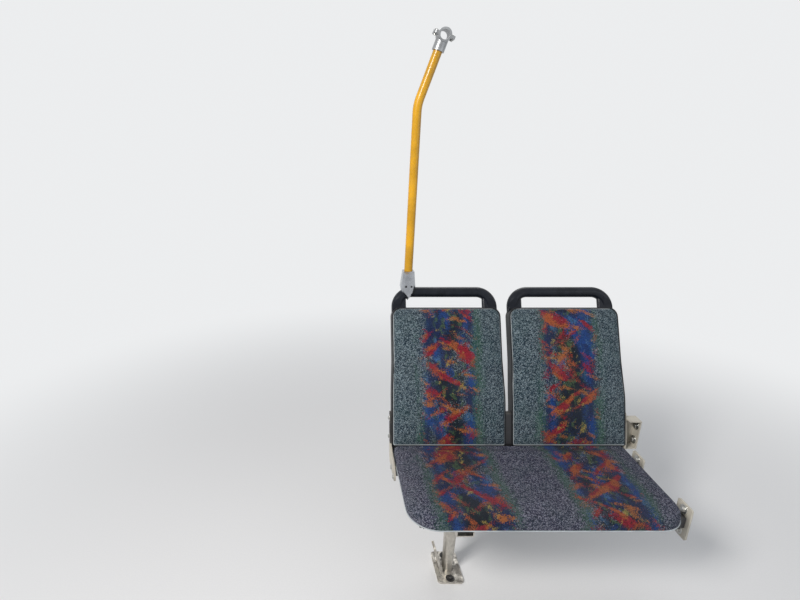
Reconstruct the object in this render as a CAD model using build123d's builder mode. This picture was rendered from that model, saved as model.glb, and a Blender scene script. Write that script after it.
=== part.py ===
from build123d import *
import math
import os

# Twin passenger seat of a city bus with its stanchion pole, in millimetres.
# The origin is the centre of the leg's foot on the floor, the seat faces -Y,
# the aisle is on the -X side and the side wall on the +X side.

# Seat layout
seat_height = 450
cushion_width = 870
cushion_depth = 406
cushion_thickness = 40
cushion_corner = 95
cushion_top_round = 20
cushion_low_round = 10
leg_to_aisle_edge = 204
leg_to_cushion_front = 272
back_overlap = 7
side_gap = 5
middle_gap = 24
wall_gap = 57
fit_gap = 0.3

# Backs, seen from the side: a lower run, a soft bend and an upper run
lower_recline = 18.5
upper_recline = 26
lower_run = 170
upper_run = 350
bend_radius = 500

# Backs, seen from the front
pad_waist = 5
pad_corner = 32
pad_thickness = 28
pad_round = 9
pad_seat_gap = 1
flare_start = 190
flare_end = 320
flare_radius = 240

# Back shell
shell_wall = 5
shell_lip_depth = 8
shell_body = 26
shell_drop = 55
shell_corner = 37
shell_round = 3
recess_margin = 42
recess_depth = 11
recess_corner = 45
recess_low_run = 40
recess_top_margin = 72

# Grab handle on top of each back
grip_radius = 20
grip_rise = 70
arm_bend = 60
arm_edge_gap = 3
blade_width = 57
blade_thickness = 20
blade_round = 8
blade_rise = 12
round_rise = 48
blade_blend = 40
slot_rise = 56
slot_corner = 16
socket_depth = 45

# Frame under the cushion
beam_size = 40
beam_wall = 3
front_beam_y = -150
rear_beam_y = 120
rear_beam_inset = 9
rib_width = 30
rib_height = 30
rib_wall = 3
rib_front_gap = 24
rib_rear_gap = 14
rib_inset = 66
pan_wall = 3
pan_flange = 18
pan_inset = 30
pan_rear_inset = 4
pan_rear_corner = 18

# Plates that carry the backs
arm_plate = 6
arm_top_run = 126
arm_low_run = 40
arm_near = 12
arm_far = 48
arm_round = 12
aisle_arm_near = 24
arm_shoulder = (10, 16)
arm_toe = (85, 25)
arm_reach = 115
arm_front_rise = 24
arm_flange_reach = 50
arm_foot_rise = 6
arm_foot_width = 22
arm_neck_run = 6
arm_neck_drop = 8

# Wall brackets
bracket_plate = 6
bracket_width = 70
bracket_height = 120
bracket_corner = 8
bracket_hole_spacing = 80
bracket_hole_radius = 5.5
channel_height = 118
channel_depth = 44
channel_wall = 4
channel_run_drop = 18
channel_set_back = 20
channel_hole_spacing = 60

# Leg
leg_width = 44
leg_depth = 60
leg_corner = 18
leg_wall = 3
leg_foot_width = 34
leg_foot_depth = 48
leg_foot_corner = 15
head_width = 60
head_height = 36
head_wall = 4
foot_width = 96
foot_length = 150
foot_plate = 6
foot_hole_radius = 5.5
foot_hole_spacing = 110
foot_corner = 14
ear_height = 113
ear_lean = 17
ear_plate = 4
ear_lip = 9
ear_lip_wall = 3
ear_foot_width = 74
ear_top_width = 40
ear_corner = 8

# Stanchion pole
pole_radius = 16
pole_wall = 2
pole_side_inset = 71
pole_bend_z = 1662
pole_lean = 19
pole_bend_radius = 150
pole_foot_gap = 22
pole_top_gap = 3
rail_bore_radius = 16
rail_z = 1884

# Pole shoe
shoe_width = 56
shoe_neck_width = 42
shoe_top_rise = 88
shoe_wide_rise = 24
shoe_cheek = 5
shoe_cheek_drop = 22
shoe_point_drop = 28
shoe_edge = 16
shoe_facet = 14
shoe_facet_angle = 33
shoe_hole_spacing = 21
shoe_hole_rise = 31
shoe_hole_radius = 2.5

# Ceiling clamp
clamp_length = 48
clamp_wall = 7
clamp_socket = 52
clamp_socket_wall = 5
clamp_ear = 14
clamp_ear_plate = 5
clamp_hole_radius = 3

# Places worked out from the sizes above
aisle_edge_x = -leg_to_aisle_edge
window_edge_x = cushion_width - leg_to_aisle_edge
seat_centre_x = (aisle_edge_x + window_edge_x) / 2
wall_x = window_edge_x + wall_gap
cushion_front_y = -leg_to_cushion_front
cushion_rear_y = cushion_front_y + cushion_depth
back_line_y = cushion_rear_y - back_overlap
cushion_bottom_z = seat_height - cushion_thickness
pan_bottom_z = cushion_bottom_z - pan_wall
beam_top_z = pan_bottom_z - rib_height
beam_z = beam_top_z - beam_size / 2
beam_bottom_z = beam_top_z - beam_size
frame_front_y = front_beam_y - beam_size / 2
frame_rear_y = rear_beam_y + beam_size / 2
side_width = (cushion_width + 2 * side_gap - middle_gap) / 2
shell_half_width = side_width / 2
pad_half_width = shell_half_width - shell_wall
back_centres = {
    "aisle": aisle_edge_x - side_gap + shell_half_width,
    "window": window_edge_x + side_gap - shell_half_width,
}
aisle_side_x = back_centres["aisle"] - shell_half_width
window_side_x = back_centres["window"] + shell_half_width
back_run = lower_run + upper_run
shell_depth = pad_thickness + shell_body
handle_depth = pad_thickness + shell_body / 2
low_lean = math.radians(lower_recline)
top_lean = math.radians(upper_recline)
mean_lean = (low_lean + top_lean) / 2
bend_y = back_line_y + lower_run * math.sin(low_lean)
bend_z = seat_height + lower_run * math.cos(low_lean)

os.makedirs("parts", exist_ok=True)
pieces = []


def keep(part, label):
    """Names a finished piece and writes it."""
    part.label = label
    pieces.append(label)
    export_step(part, "parts/" + label + ".step")


def back_point(run, depth):
    """The (y, z) point of the side profile at a run up the face and a depth behind it."""
    along = low_lean if run < lower_run else top_lean
    y = bend_y + (run - lower_run) * math.sin(along)
    z = bend_z + (run - lower_run) * math.cos(along)
    lean = along
    reach = depth
    if run == lower_run:
        lean = mean_lean
        reach = depth / math.cos((top_lean - low_lean) / 2)
    return y + reach * math.cos(lean), z - reach * math.sin(lean)


def depth_behind_face(point):
    """How far a point of a back lies behind the pad's face."""
    return min(
        (point.Y - bend_y) * math.cos(lean) - (point.Z - bend_z) * math.sin(lean)
        for lean in (low_lean, top_lean)
    )


def rim_edges(part, depth):
    """The edges round the face of a back that lies at one depth."""
    layer = [
        face
        for face in part.faces()
        if all(abs(depth_behind_face(corner) - depth) < 0.05 for corner in face.vertices())
    ]
    edges = [edge for face in layer for edge in face.edges()]
    return [edge for edge in edges if sum(edge.is_same(other) for other in edges) == 1]


def side_band(near, far, run_low, run_top):
    """Closed side profile of the back between two depths, its bend rounded."""
    corners = [back_point(run, near) for run in (run_low, lower_run, run_top)]
    corners += [back_point(run, far) for run in (run_top, lower_run, run_low)]
    with BuildSketch() as band:
        with BuildLine():
            Polyline(*corners, close=True)
        make_face()
        for corner, radius in ((corners[1], bend_radius - near), (corners[4], bend_radius - far)):
            fillet(band.vertices().sort_by_distance(corner)[0], radius)
    return band.sketch


def front_outline(grow, drop, corner):
    """Outline of a back seen from the front: the pad's outline grown by a margin."""
    low = pad_half_width + grow
    top = low - pad_waist
    crown = back_run + grow
    right = [(low, -drop), (low, flare_start), (top, flare_end), (top, crown)]
    left = [(-x, y) for x, y in reversed(right)]
    with BuildSketch() as outline:
        with BuildLine():
            Polyline(*right, *left, close=True)
        make_face()
        for place in (right[3], left[0]):
            fillet(outline.vertices().sort_by_distance(place)[0], corner)
        for place in (right[1], right[2], left[1], left[2]):
            fillet(outline.vertices().sort_by_distance(place)[0], flare_radius)
    return outline.sketch


def back_plane(centre_x, run, depth, lean):
    """A plane on the back, x to the right, y up the slope and z out of the face."""
    y, z = back_point(run, depth)
    return Plane(origin=(centre_x, y, z), x_dir=(1, 0, 0), z_dir=(0, -math.cos(lean), math.sin(lean)))


def back_slab(centre_x, band, outline):
    """The solid between a side profile and a front outline."""
    with BuildPart() as slab:
        with BuildSketch(Plane.YZ.offset(centre_x - side_width)):
            add(band)
        extrude(amount=2 * side_width)
        with BuildSketch(back_plane(centre_x, 0, 0, mean_lean)):
            add(outline)
        extrude(amount=side_width, both=True, mode=Mode.INTERSECT)
    return slab.part


def grab_solid(centre_x, grow):
    """A grab handle: a round grip that turns down and flattens into two wide blades."""
    plane = back_plane(centre_x, back_run, handle_depth, top_lean)
    radius = grip_radius + grow
    half_plate = blade_thickness / 2 + grow
    low_end = -(socket_depth + grow)
    half_width = shell_half_width - pad_waist - arm_edge_gap
    half_span = half_width - grip_radius
    straight = half_span - arm_bend
    bend_end = grip_rise - arm_bend
    slot_half = half_width - blade_width - grow

    # Flat web between the tube's centre line and the slot, its slot edges rounded
    with BuildPart() as web:
        with BuildSketch(plane.offset(-half_plate)) as web_face:
            with Locations((0, (grip_rise + low_end) / 2)):
                Rectangle(2 * half_span, grip_rise - low_end)
            fillet(web_face.vertices().group_by(Axis.Y)[-1], arm_bend)
            with BuildSketch(mode=Mode.PRIVATE) as slot:
                with Locations((0, slot_rise + 2 * low_end)):
                    Rectangle(2 * slot_half, -4 * low_end)
                fillet(slot.vertices().group_by(Axis.Y)[-1], slot_corner)
            add(slot.sketch, mode=Mode.SUBTRACT)
        extrude(amount=2 * half_plate)
        slot_edges = []
        for edge in web.edges():
            middle = plane.to_local_coords(edge.center())
            if abs(middle.X) < slot_half + 1 and middle.Y < slot_rise + 1 and abs(middle.Z) > 1:
                slot_edges.append(edge)
        fillet(slot_edges, blade_round)

    # Tube that turns down at both ends, flattened front and rear by its side view
    with BuildPart() as handle:
        grip_start = plane.from_local_coords(Vector(-straight, grip_rise, 0))
        with BuildSketch(Plane(origin=grip_start, x_dir=plane.y_dir, z_dir=plane.x_dir)) as grip:
            Circle(radius)
        extrude(grip.sketch, amount=2 * straight)
        for side in (-1, 1):
            arm_top = plane.from_local_coords(Vector(side * half_span, bend_end, 0))
            bend_centre = plane.from_local_coords(Vector(side * straight, bend_end, 0))
            with BuildSketch(Plane(origin=arm_top, x_dir=plane.x_dir, z_dir=plane.y_dir)) as arm:
                Circle(radius)
            revolve(arm.sketch, axis=Axis(bend_centre, plane.z_dir * side), revolution_arc=90)
            extrude(arm.sketch, amount=low_end - bend_end)
        right = [
            (half_plate, low_end),
            (half_plate, blade_rise),
            (radius + 1, round_rise),
            (radius + 1, grip_rise + 2 * radius),
        ]
        left = [(-x, y) for x, y in reversed(right)]
        side_view = Plane(origin=plane.origin, x_dir=plane.z_dir, z_dir=-plane.x_dir)
        with BuildSketch(side_view) as profile:
            with BuildLine():
                Polyline(*right, *left, close=True)
            make_face()
            for place in (right[1], left[2]):
                fillet(profile.vertices().sort_by_distance(place)[0], blade_blend)
        extrude(profile.sketch, amount=2 * half_width, both=True, mode=Mode.INTERSECT)
        add(web.part)
    return handle.part


# Cushion
cushion_mid_y = (cushion_front_y + cushion_rear_y) / 2
with BuildPart() as cushion_pad:
    with BuildSketch(Plane.XY.offset(cushion_bottom_z)) as cushion_plan:
        with Locations((seat_centre_x, cushion_mid_y)):
            Rectangle(cushion_width, cushion_depth)
        fillet(cushion_plan.vertices().group_by(Axis.Y)[0], cushion_corner)
    extrude(amount=cushion_thickness)
    fillet(cushion_pad.faces().sort_by(Axis.Z)[-1].edges().sort_by(Axis.Y)[:-1], cushion_top_round)
    fillet(cushion_pad.faces().sort_by(Axis.Z)[0].edges().sort_by(Axis.Y)[:-1], cushion_low_round)
keep(cushion_pad.part, "cushion_pad")

# Pressed pan under the cushion
pan_front_y = cushion_front_y + pan_inset
pan_rear_y = cushion_rear_y - pan_rear_inset
pan_width = cushion_width - 2 * pan_inset
pan_mid_y = (pan_front_y + pan_rear_y) / 2
with BuildPart() as cushion_pan:
    with BuildSketch(Plane.XY.offset(cushion_bottom_z)) as pan_plan:
        with Locations((seat_centre_x, pan_mid_y)):
            Rectangle(pan_width, pan_rear_y - pan_front_y)
        fillet(pan_plan.vertices().group_by(Axis.Y)[0], cushion_corner - pan_inset)
        fillet(pan_plan.vertices().group_by(Axis.Y)[-1], pan_rear_corner)
    extrude(amount=-(pan_wall + pan_flange))
    offset(amount=-pan_wall, openings=cushion_pan.faces().sort_by(Axis.Z)[0])
keep(cushion_pan.part, "cushion_pan")

# Ribs between the pan and the beams
rib_front_y = pan_front_y + rib_front_gap
rib_rear_y = pan_rear_y - rib_rear_gap
rib_centres = {
    "aisle": aisle_edge_x + rib_inset,
    "middle": seat_centre_x,
    "window": window_edge_x - rib_inset,
}
for name, rib_x in rib_centres.items():
    with BuildPart() as seat_rib:
        with BuildSketch(Plane.XZ.offset(-rib_rear_y)):
            with Locations((rib_x, beam_top_z + rib_height / 2)):
                Rectangle(rib_width, rib_height)
            with Locations((rib_x, beam_top_z + (rib_height - rib_wall) / 2)):
                Rectangle(rib_width - 2 * rib_wall, rib_height - rib_wall, mode=Mode.SUBTRACT)
        extrude(amount=rib_rear_y - rib_front_y)
    keep(seat_rib.part, "seat_rib_" + name)

# Cross beams, from under the cushion's aisle side to the wall
beam_end_x = wall_x - bracket_plate
for name, beam_y, beam_start_x in (
    ("front_beam", front_beam_y, rib_centres["aisle"] - rib_width / 2),
    ("rear_beam", rear_beam_y, aisle_edge_x + rear_beam_inset),
):
    with BuildPart() as beam:
        with BuildSketch(Plane.YZ.offset(beam_start_x)):
            with Locations((beam_y, beam_z)):
                RectangleRounded(beam_size, beam_size, beam_wall)
                RectangleRounded(
                    beam_size - 2 * beam_wall,
                    beam_size - 2 * beam_wall,
                    beam_wall / 2,
                    mode=Mode.SUBTRACT,
                )
        extrude(amount=beam_end_x - beam_start_x)
    keep(beam.part, name)

# Wall brackets at the beams' ends
for name, beam_y in (("wall_bracket_front", front_beam_y), ("wall_bracket_rear", rear_beam_y)):
    with BuildPart() as wall_bracket:
        with BuildSketch(Plane.YZ.offset(beam_end_x)):
            with Locations((beam_y, beam_z)):
                RectangleRounded(bracket_width, bracket_height, bracket_corner)
                with GridLocations(0, bracket_hole_spacing, 1, 2):
                    Circle(bracket_hole_radius, mode=Mode.SUBTRACT)
        extrude(amount=bracket_plate)
    keep(wall_bracket.part, name)

# Angle plate on the aisle side, its flange on the rear beam and its web beside the cushion
shoulder_y = back_line_y - arm_shoulder[0]
toe_y = back_line_y - arm_toe[0]
arm_front_y = back_line_y - arm_reach
aisle_arm_points = [
    (arm_front_y, beam_top_z),
    (frame_rear_y, beam_top_z),
    back_point(-arm_low_run, arm_far),
    back_point(arm_top_run, arm_far),
    back_point(arm_top_run, aisle_arm_near),
    back_point(0, aisle_arm_near),
    (shoulder_y, seat_height - arm_shoulder[1]),
    (toe_y, seat_height - arm_toe[1]),
    (arm_front_y, beam_top_z + arm_front_rise),
]
with BuildPart() as back_arm_aisle:
    with BuildSketch(Plane.YZ.offset(aisle_side_x)) as arm_face:
        with BuildLine():
            Polyline(*aisle_arm_points, close=True)
        make_face()
        fillet(arm_face.vertices(), arm_round)
    extrude(amount=-arm_plate)
    with BuildSketch(Plane.XY.offset(beam_top_z)):
        with Locations((aisle_side_x - arm_plate / 2, rear_beam_y)):
            Rectangle(arm_flange_reach + arm_plate / 2, beam_size, align=(Align.MIN, Align.CENTER))
    extrude(amount=arm_plate)
keep(back_arm_aisle.part, "back_arm_aisle")

# Plates behind the rear beam, between the backs and at the window
neck_y, neck_z = back_point(arm_neck_run, arm_near)
rear_arm_points = [
    (frame_rear_y, beam_bottom_z + arm_foot_rise),
    (frame_rear_y + arm_foot_width, beam_bottom_z + arm_foot_rise),
    back_point(-arm_low_run, arm_far),
    back_point(arm_top_run, arm_far),
    back_point(arm_top_run, arm_near),
    (neck_y, neck_z),
    (frame_rear_y, neck_z - arm_neck_drop),
]
middle_arm_x = back_centres["aisle"] + shell_half_width
for name, arm_x, width in (
    ("back_arm_middle", middle_arm_x, middle_gap),
    ("back_arm_window", window_side_x, arm_plate),
):
    with BuildPart() as back_arm:
        with BuildSketch(Plane.YZ.offset(arm_x)) as arm_face:
            with BuildLine():
                Polyline(*rear_arm_points, close=True)
            make_face()
            fillet(arm_face.vertices().sort_by(Axis.Y)[-2:], arm_round)
        extrude(amount=width)
    keep(back_arm.part, name)

# Channel between the window back and the wall, open to the front, with a bolted end plate
channel_start_x = window_side_x + arm_plate
channel_y, channel_top_z = back_point(arm_top_run - channel_run_drop, (arm_near + arm_far) / 2)
channel_centre = (channel_y - channel_set_back, channel_top_z - channel_height / 2)
with BuildPart() as wall_bracket_back:
    with BuildSketch(Plane.YZ.offset(channel_start_x)):
        with Locations(channel_centre):
            Rectangle(channel_depth, channel_height)
            with Locations((-channel_wall / 2, 0)):
                Rectangle(
                    channel_depth - channel_wall,
                    channel_height - 2 * channel_wall,
                    mode=Mode.SUBTRACT,
                )
    extrude(amount=wall_x - channel_start_x)
    with BuildSketch(Plane.YZ.offset(wall_x)):
        with Locations(channel_centre):
            Rectangle(channel_depth, channel_height)
            with GridLocations(0, channel_hole_spacing, 1, 2):
                Circle(bracket_hole_radius, mode=Mode.SUBTRACT)
    extrude(amount=-channel_wall)
keep(wall_bracket_back.part, "wall_bracket_back")

# Leg: foot plate with its splayed and folded ear, tapered post and head
ear_sin = math.sin(math.radians(ear_lean))
ear_cos = math.cos(math.radians(ear_lean))
ear_plane = Plane(
    origin=(-leg_foot_width / 2 - ear_plate, 0, foot_plate - 1),
    x_dir=(0, 1, 0),
    z_dir=(-ear_cos, 0, -ear_sin),
)
with BuildPart() as leg_foot:
    with BuildSketch(Plane.XY):
        RectangleRounded(foot_width, foot_length, foot_corner)
        with GridLocations(0, foot_hole_spacing, 1, 2):
            Circle(foot_hole_radius, mode=Mode.SUBTRACT)
    extrude(amount=foot_plate)
    for start, inset, height in ((0, 0, ear_height), (ear_plate, ear_lip_wall, ear_height + 1)):
        with BuildSketch(ear_plane.offset(start)) as ear_face:
            with BuildLine():
                Polyline(
                    (inset - ear_foot_width / 2, 0),
                    (ear_foot_width / 2 - inset, 0),
                    (ear_top_width / 2 - inset, -height),
                    (inset - ear_top_width / 2, -height),
                    close=True,
                )
            make_face()
            if start == 0:
                fillet(ear_face.vertices().group_by(Axis.Y)[0], ear_corner)
        extrude(amount=ear_lip, mode=Mode.ADD if start == 0 else Mode.SUBTRACT)
keep(leg_foot.part, "leg_foot")

head_bottom_z = beam_bottom_z - head_height
with BuildPart() as leg_post:
    for wall in (0, leg_wall):
        with BuildSketch(Plane.XY.offset(foot_plate)) as post_foot:
            RectangleRounded(
                leg_foot_width - 2 * wall, leg_foot_depth - 2 * wall, leg_foot_corner - wall
            )
        with BuildSketch(Plane.XY.offset(head_bottom_z)) as post_top:
            RectangleRounded(leg_width - 2 * wall, leg_depth - 2 * wall, leg_corner - wall)
        mode = Mode.ADD if wall == 0 else Mode.SUBTRACT
        loft(sections=[post_foot.sketch, post_top.sketch], mode=mode)
keep(leg_post.part, "leg_post")

with BuildPart() as leg_head:
    with BuildSketch(Plane.XZ.offset(-frame_rear_y)):
        with Locations((0, head_bottom_z + head_height / 2)):
            Rectangle(head_width, head_height)
        with Locations((0, head_bottom_z + (head_height + head_wall) / 2)):
            Rectangle(head_width - 2 * head_wall, head_height - head_wall, mode=Mode.SUBTRACT)
    extrude(amount=frame_rear_y - frame_front_y)
keep(leg_head.part, "leg_head")

# Backs: shell, pad and grab handle, one set for each passenger
low_cut = shell_drop + shell_depth
shell_top_run = back_run + shell_wall
shell_bottom_z = seat_height - shell_drop
pad_seat_z = seat_height + pad_seat_gap
recess_top_run = back_run - recess_top_margin
rim_band = side_band(shell_lip_depth, pad_thickness + 1, 0, shell_top_run)
body_band = side_band(pad_thickness, shell_depth, -low_cut, shell_top_run)
pad_band = side_band(0, pad_thickness - fit_gap, -low_cut, back_run)
recess_band = side_band(shell_depth - recess_depth, shell_depth + recess_depth, 0, back_run)
shell_front = front_outline(shell_wall, low_cut, shell_corner)
pad_front = front_outline(0, low_cut, pad_corner)
rim_opening = front_outline(fit_gap, low_cut, pad_corner + fit_gap)
with BuildSketch() as recess_front:
    with Locations((0, (recess_low_run + recess_top_run) / 2)):
        RectangleRounded(
            2 * (shell_half_width - recess_margin),
            recess_top_run - recess_low_run,
            recess_corner,
        )
for name, centre_x in back_centres.items():
    # Rim round the pad
    with BuildPart() as rim:
        add(back_slab(centre_x, rim_band, shell_front))
        with BuildSketch(back_plane(centre_x, 0, 0, mean_lean)):
            add(rim_opening)
        extrude(amount=side_width, both=True, mode=Mode.SUBTRACT)
        split(bisect_by=Plane.XY.offset(pad_seat_z), keep=Keep.TOP)

    # Back wall with rounded rear edges, a pressed recess and sockets for the handle
    with BuildPart() as back_shell:
        add(back_slab(centre_x, body_band, shell_front))
        split(bisect_by=Plane.XY.offset(shell_bottom_z), keep=Keep.TOP)
        fillet(rim_edges(back_shell.part, shell_depth), shell_round)
        add(back_slab(centre_x, recess_band, recess_front.sketch), mode=Mode.SUBTRACT)
        add(rim.part)
        add(grab_solid(centre_x, fit_gap), mode=Mode.SUBTRACT)
    keep(back_shell.part, "back_shell_" + name)

    with BuildPart() as back_pad:
        add(back_slab(centre_x, pad_band, pad_front))
        split(bisect_by=Plane.XY.offset(pad_seat_z), keep=Keep.TOP)
        fillet(rim_edges(back_pad.part, 0), pad_round)
    keep(back_pad.part, "back_pad_" + name)
    keep(grab_solid(centre_x, 0), "grab_handle_" + name)

# Stanchion pole from the aisle grab handle up to the ceiling rail
pole_x = aisle_side_x + pole_side_inset
grip_plane = back_plane(back_centres["aisle"], back_run, handle_depth, top_lean)
grip_centre = grip_plane.from_local_coords(Vector(0, grip_rise, 0))
pole_y = grip_centre.Y
grip_z = grip_centre.Z
pole_foot_z = grip_z + grip_radius + pole_foot_gap
lean_sin = math.sin(math.radians(pole_lean))
lean_cos = math.cos(math.radians(pole_lean))
rail_x = pole_x + (rail_z - pole_bend_z) * lean_sin / lean_cos
rail_plane = Plane(
    origin=(rail_x, pole_y, rail_z),
    x_dir=(lean_cos, 0, -lean_sin),
    z_dir=(lean_sin, 0, lean_cos),
)
pole_top = rail_plane.from_local_coords(Vector(0, 0, -(rail_bore_radius + pole_top_gap)))
with BuildPart() as stanchion_pole:
    with BuildLine():
        FilletPolyline(
            (pole_x, pole_y, pole_foot_z),
            (pole_x, pole_y, pole_bend_z),
            pole_top,
            radius=pole_bend_radius,
        )
    with BuildSketch(Plane(origin=(pole_x, pole_y, pole_foot_z), z_dir=(0, 0, 1))):
        Circle(pole_radius)
        Circle(pole_radius - pole_wall, mode=Mode.SUBTRACT)
    sweep()
keep(stanchion_pole.part, "stanchion_pole")

# Cast shoe in two faceted halves that clamp the grip and hold the pole's foot
shoe_half_width = shoe_width / 2
shoe_right = [
    (shoe_neck_width / 2, shoe_top_rise),
    (shoe_half_width, shoe_wide_rise),
    (shoe_half_width - shoe_cheek, shoe_wide_rise - shoe_cheek_drop),
    (0, -shoe_point_drop),
]
shoe_left = [(-x, z) for x, z in reversed(shoe_right[:-1])]
shoe_depth = shoe_edge + shoe_facet
for name, face in (("front", -1), ("rear", 1)):
    shoe_plane = Plane(origin=(pole_x, pole_y, grip_z), x_dir=(-face, 0, 0), z_dir=(0, face, 0))
    with BuildPart() as pole_shoe:
        with BuildSketch(shoe_plane) as leaf:
            with BuildLine():
                Polyline(*shoe_right, *shoe_left, close=True)
            make_face()
        extrude(amount=shoe_edge)
        with BuildSketch(shoe_plane.offset(shoe_edge)) as leaf_facets:
            add(leaf.sketch_local)
        extrude(amount=shoe_facet, taper=shoe_facet_angle)
        with BuildSketch(Plane.XY.offset(pole_foot_z)):
            with Locations((pole_x, pole_y)):
                Circle(pole_radius + fit_gap)
        extrude(amount=shoe_top_rise, mode=Mode.SUBTRACT)
        add(grab_solid(back_centres["aisle"], fit_gap), mode=Mode.SUBTRACT)
        with BuildSketch(shoe_plane):
            with Locations((0, shoe_hole_rise)):
                with GridLocations(shoe_hole_spacing, 0, 2, 1):
                    Circle(shoe_hole_radius)
        extrude(amount=shoe_depth, mode=Mode.SUBTRACT)
    keep(pole_shoe.part, "pole_shoe_" + name)

# Ceiling clamp in two halves, its bore running along the vehicle
clamp_radius = rail_bore_radius + clamp_wall
clamp_span = 2 * (clamp_radius + clamp_ear)
bore_plane = Plane(
    origin=rail_plane.from_local_coords(Vector(0, -clamp_length / 2, 0)),
    x_dir=rail_plane.x_dir,
    z_dir=(0, 1, 0),
)
for name, side in (("ceiling_clamp_body", -1), ("ceiling_clamp_cap", 1)):
    with BuildPart() as clamp:
        with BuildSketch(bore_plane):
            Circle(clamp_radius)
            Rectangle(clamp_span, 2 * clamp_ear_plate)
        extrude(amount=clamp_length)
        fillet(clamp.edges().filter_by(Axis((0, 0, 0), rail_plane.z_dir)), clamp_ear / 2)
        if side < 0:
            with BuildSketch(rail_plane):
                Circle(pole_radius + fit_gap + clamp_socket_wall)
            extrude(amount=-clamp_socket)
            with BuildSketch(rail_plane):
                Circle(pole_radius + fit_gap)
            extrude(amount=-clamp_socket, mode=Mode.SUBTRACT)
        with BuildSketch(bore_plane):
            Circle(rail_bore_radius)
        extrude(amount=clamp_length, mode=Mode.SUBTRACT)
        with BuildSketch(rail_plane):
            with GridLocations(clamp_span - clamp_ear, 0, 2, 1):
                Circle(clamp_hole_radius)
        extrude(amount=clamp_radius, both=True, mode=Mode.SUBTRACT)
        split(bisect_by=rail_plane, keep=Keep.TOP if side > 0 else Keep.BOTTOM)
    keep(clamp.part, name)

print("nodes", len(pieces))
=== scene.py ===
import math

import bpy
from mathutils import Matrix, Vector, noise


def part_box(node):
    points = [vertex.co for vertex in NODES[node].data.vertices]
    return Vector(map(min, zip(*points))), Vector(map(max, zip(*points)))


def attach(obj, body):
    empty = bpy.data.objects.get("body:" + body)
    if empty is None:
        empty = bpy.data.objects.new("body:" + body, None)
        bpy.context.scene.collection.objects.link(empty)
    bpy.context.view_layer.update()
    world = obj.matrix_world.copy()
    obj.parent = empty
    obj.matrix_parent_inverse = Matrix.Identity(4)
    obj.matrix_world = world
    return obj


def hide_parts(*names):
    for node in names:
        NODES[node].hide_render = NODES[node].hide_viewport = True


bl_info = {
    "name": "Twin Bus Seat",
    "version": (1, 0, 0),
    "blender": (4, 5, 0),
    "location": "View3D > Sidebar > Twin Seat",
    "description": "Dresses a twin bus passenger seat with cloth, piping, fasteners and finishes",
    "category": "Add Mesh",
}

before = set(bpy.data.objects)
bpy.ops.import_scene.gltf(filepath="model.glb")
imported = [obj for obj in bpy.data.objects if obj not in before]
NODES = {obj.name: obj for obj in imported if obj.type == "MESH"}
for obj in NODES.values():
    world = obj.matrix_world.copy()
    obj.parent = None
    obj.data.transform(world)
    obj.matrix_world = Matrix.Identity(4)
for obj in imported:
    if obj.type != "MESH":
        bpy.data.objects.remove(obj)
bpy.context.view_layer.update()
SIDES = ("aisle", "window")

# Sizes in metres, as the solids have them: first the side profile of the backs
BACK_LINE_Y = 0.127
SEAT_HEIGHT = 0.450
LOWER_RUN = 0.170
BACK_RUN = 0.520
LOW_LEAN = math.radians(18.5)
TOP_LEAN = math.radians(26.0)
BEND_Y = BACK_LINE_Y + LOWER_RUN * math.sin(LOW_LEAN)
BEND_Z = SEAT_HEIGHT + LOWER_RUN * math.cos(LOW_LEAN)
BEND_RADIUS = 0.500
BEND_REACH = BEND_RADIUS * math.tan((TOP_LEAN - LOW_LEAN) / 2)
SHELL_DEPTH = 0.054
RECESS_DEPTH = 0.011

# Waist of the backs and corners of the cushion
FLARE_START = 0.190
FLARE_END = 0.320
WAIST = 0.005
CUSHION_CORNER = 0.095

# Holes and plates that the bolts and screws sit on
FOOT_PLATE = 0.006
FOOT_BOLT_REACH = 0.055
WALL_BOLT_REACH = 0.040
CHANNEL_WALL = 0.004
CHANNEL_BOLT_REACH = 0.030
SHOE_POINT_DROP = 0.028
SHOE_SCREW_RISE = 0.031
SHOE_SCREW_REACH = 0.0105
PAD_SCREW_RUNS = (0.105, 0.375)
PAD_SCREW_REACH = 0.115
SCREW_GAP = 0.0002

# Bolts of the back arms: runs and depths on the backs, and reaches along the beam's flange
ARM_BOLT_RUNS = (0.030, 0.100)
ARM_BOLT_DEPTH = 0.037
WINDOW_ARM_BOLT = (0.006, 0.034)
FLANGE_BOLT_REACHES = (0.014, 0.070)
FLANGE_BOLT_RISE = 0.014

# The ceiling clamp
RAIL_CENTRE = Vector((-0.06156, 0.4019, 1.8840))
POLE_LEAN = math.radians(19.0)
CLAMP_SCREW_REACH = 0.030
CLAMP_EAR = 0.005

# The cloth's stripe
STRIPE_HALF_WIDTH = 0.105

# Colours that more than one finish uses
DUST = (0.36, 0.33, 0.29)
PALE_PAINT = (0.50, 0.47, 0.40)
RUBBED_PAINT = (0.30, 0.28, 0.25)
BLACK_PAINT = (0.014, 0.014, 0.016)
BACKGROUND = (0.84, 0.85, 0.86)


def corners(node):
    """The lowest and the highest corner of a node's box."""
    return [Vector(corner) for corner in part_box(node)]


def box_centre(node):
    """The middle of a node's box."""
    low, high = corners(node)
    return (low + high) / 2


BACK_CENTRES = {side: box_centre("back_pad_" + side).x for side in SIDES}
PAD_HALF_WIDTH = (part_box("back_pad_aisle")[1][0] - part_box("back_pad_aisle")[0][0]) / 2


def lean_at(run):
    """How far a back leans at a run up its face, away from its bend."""
    return LOW_LEAN if run < LOWER_RUN else TOP_LEAN


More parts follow.
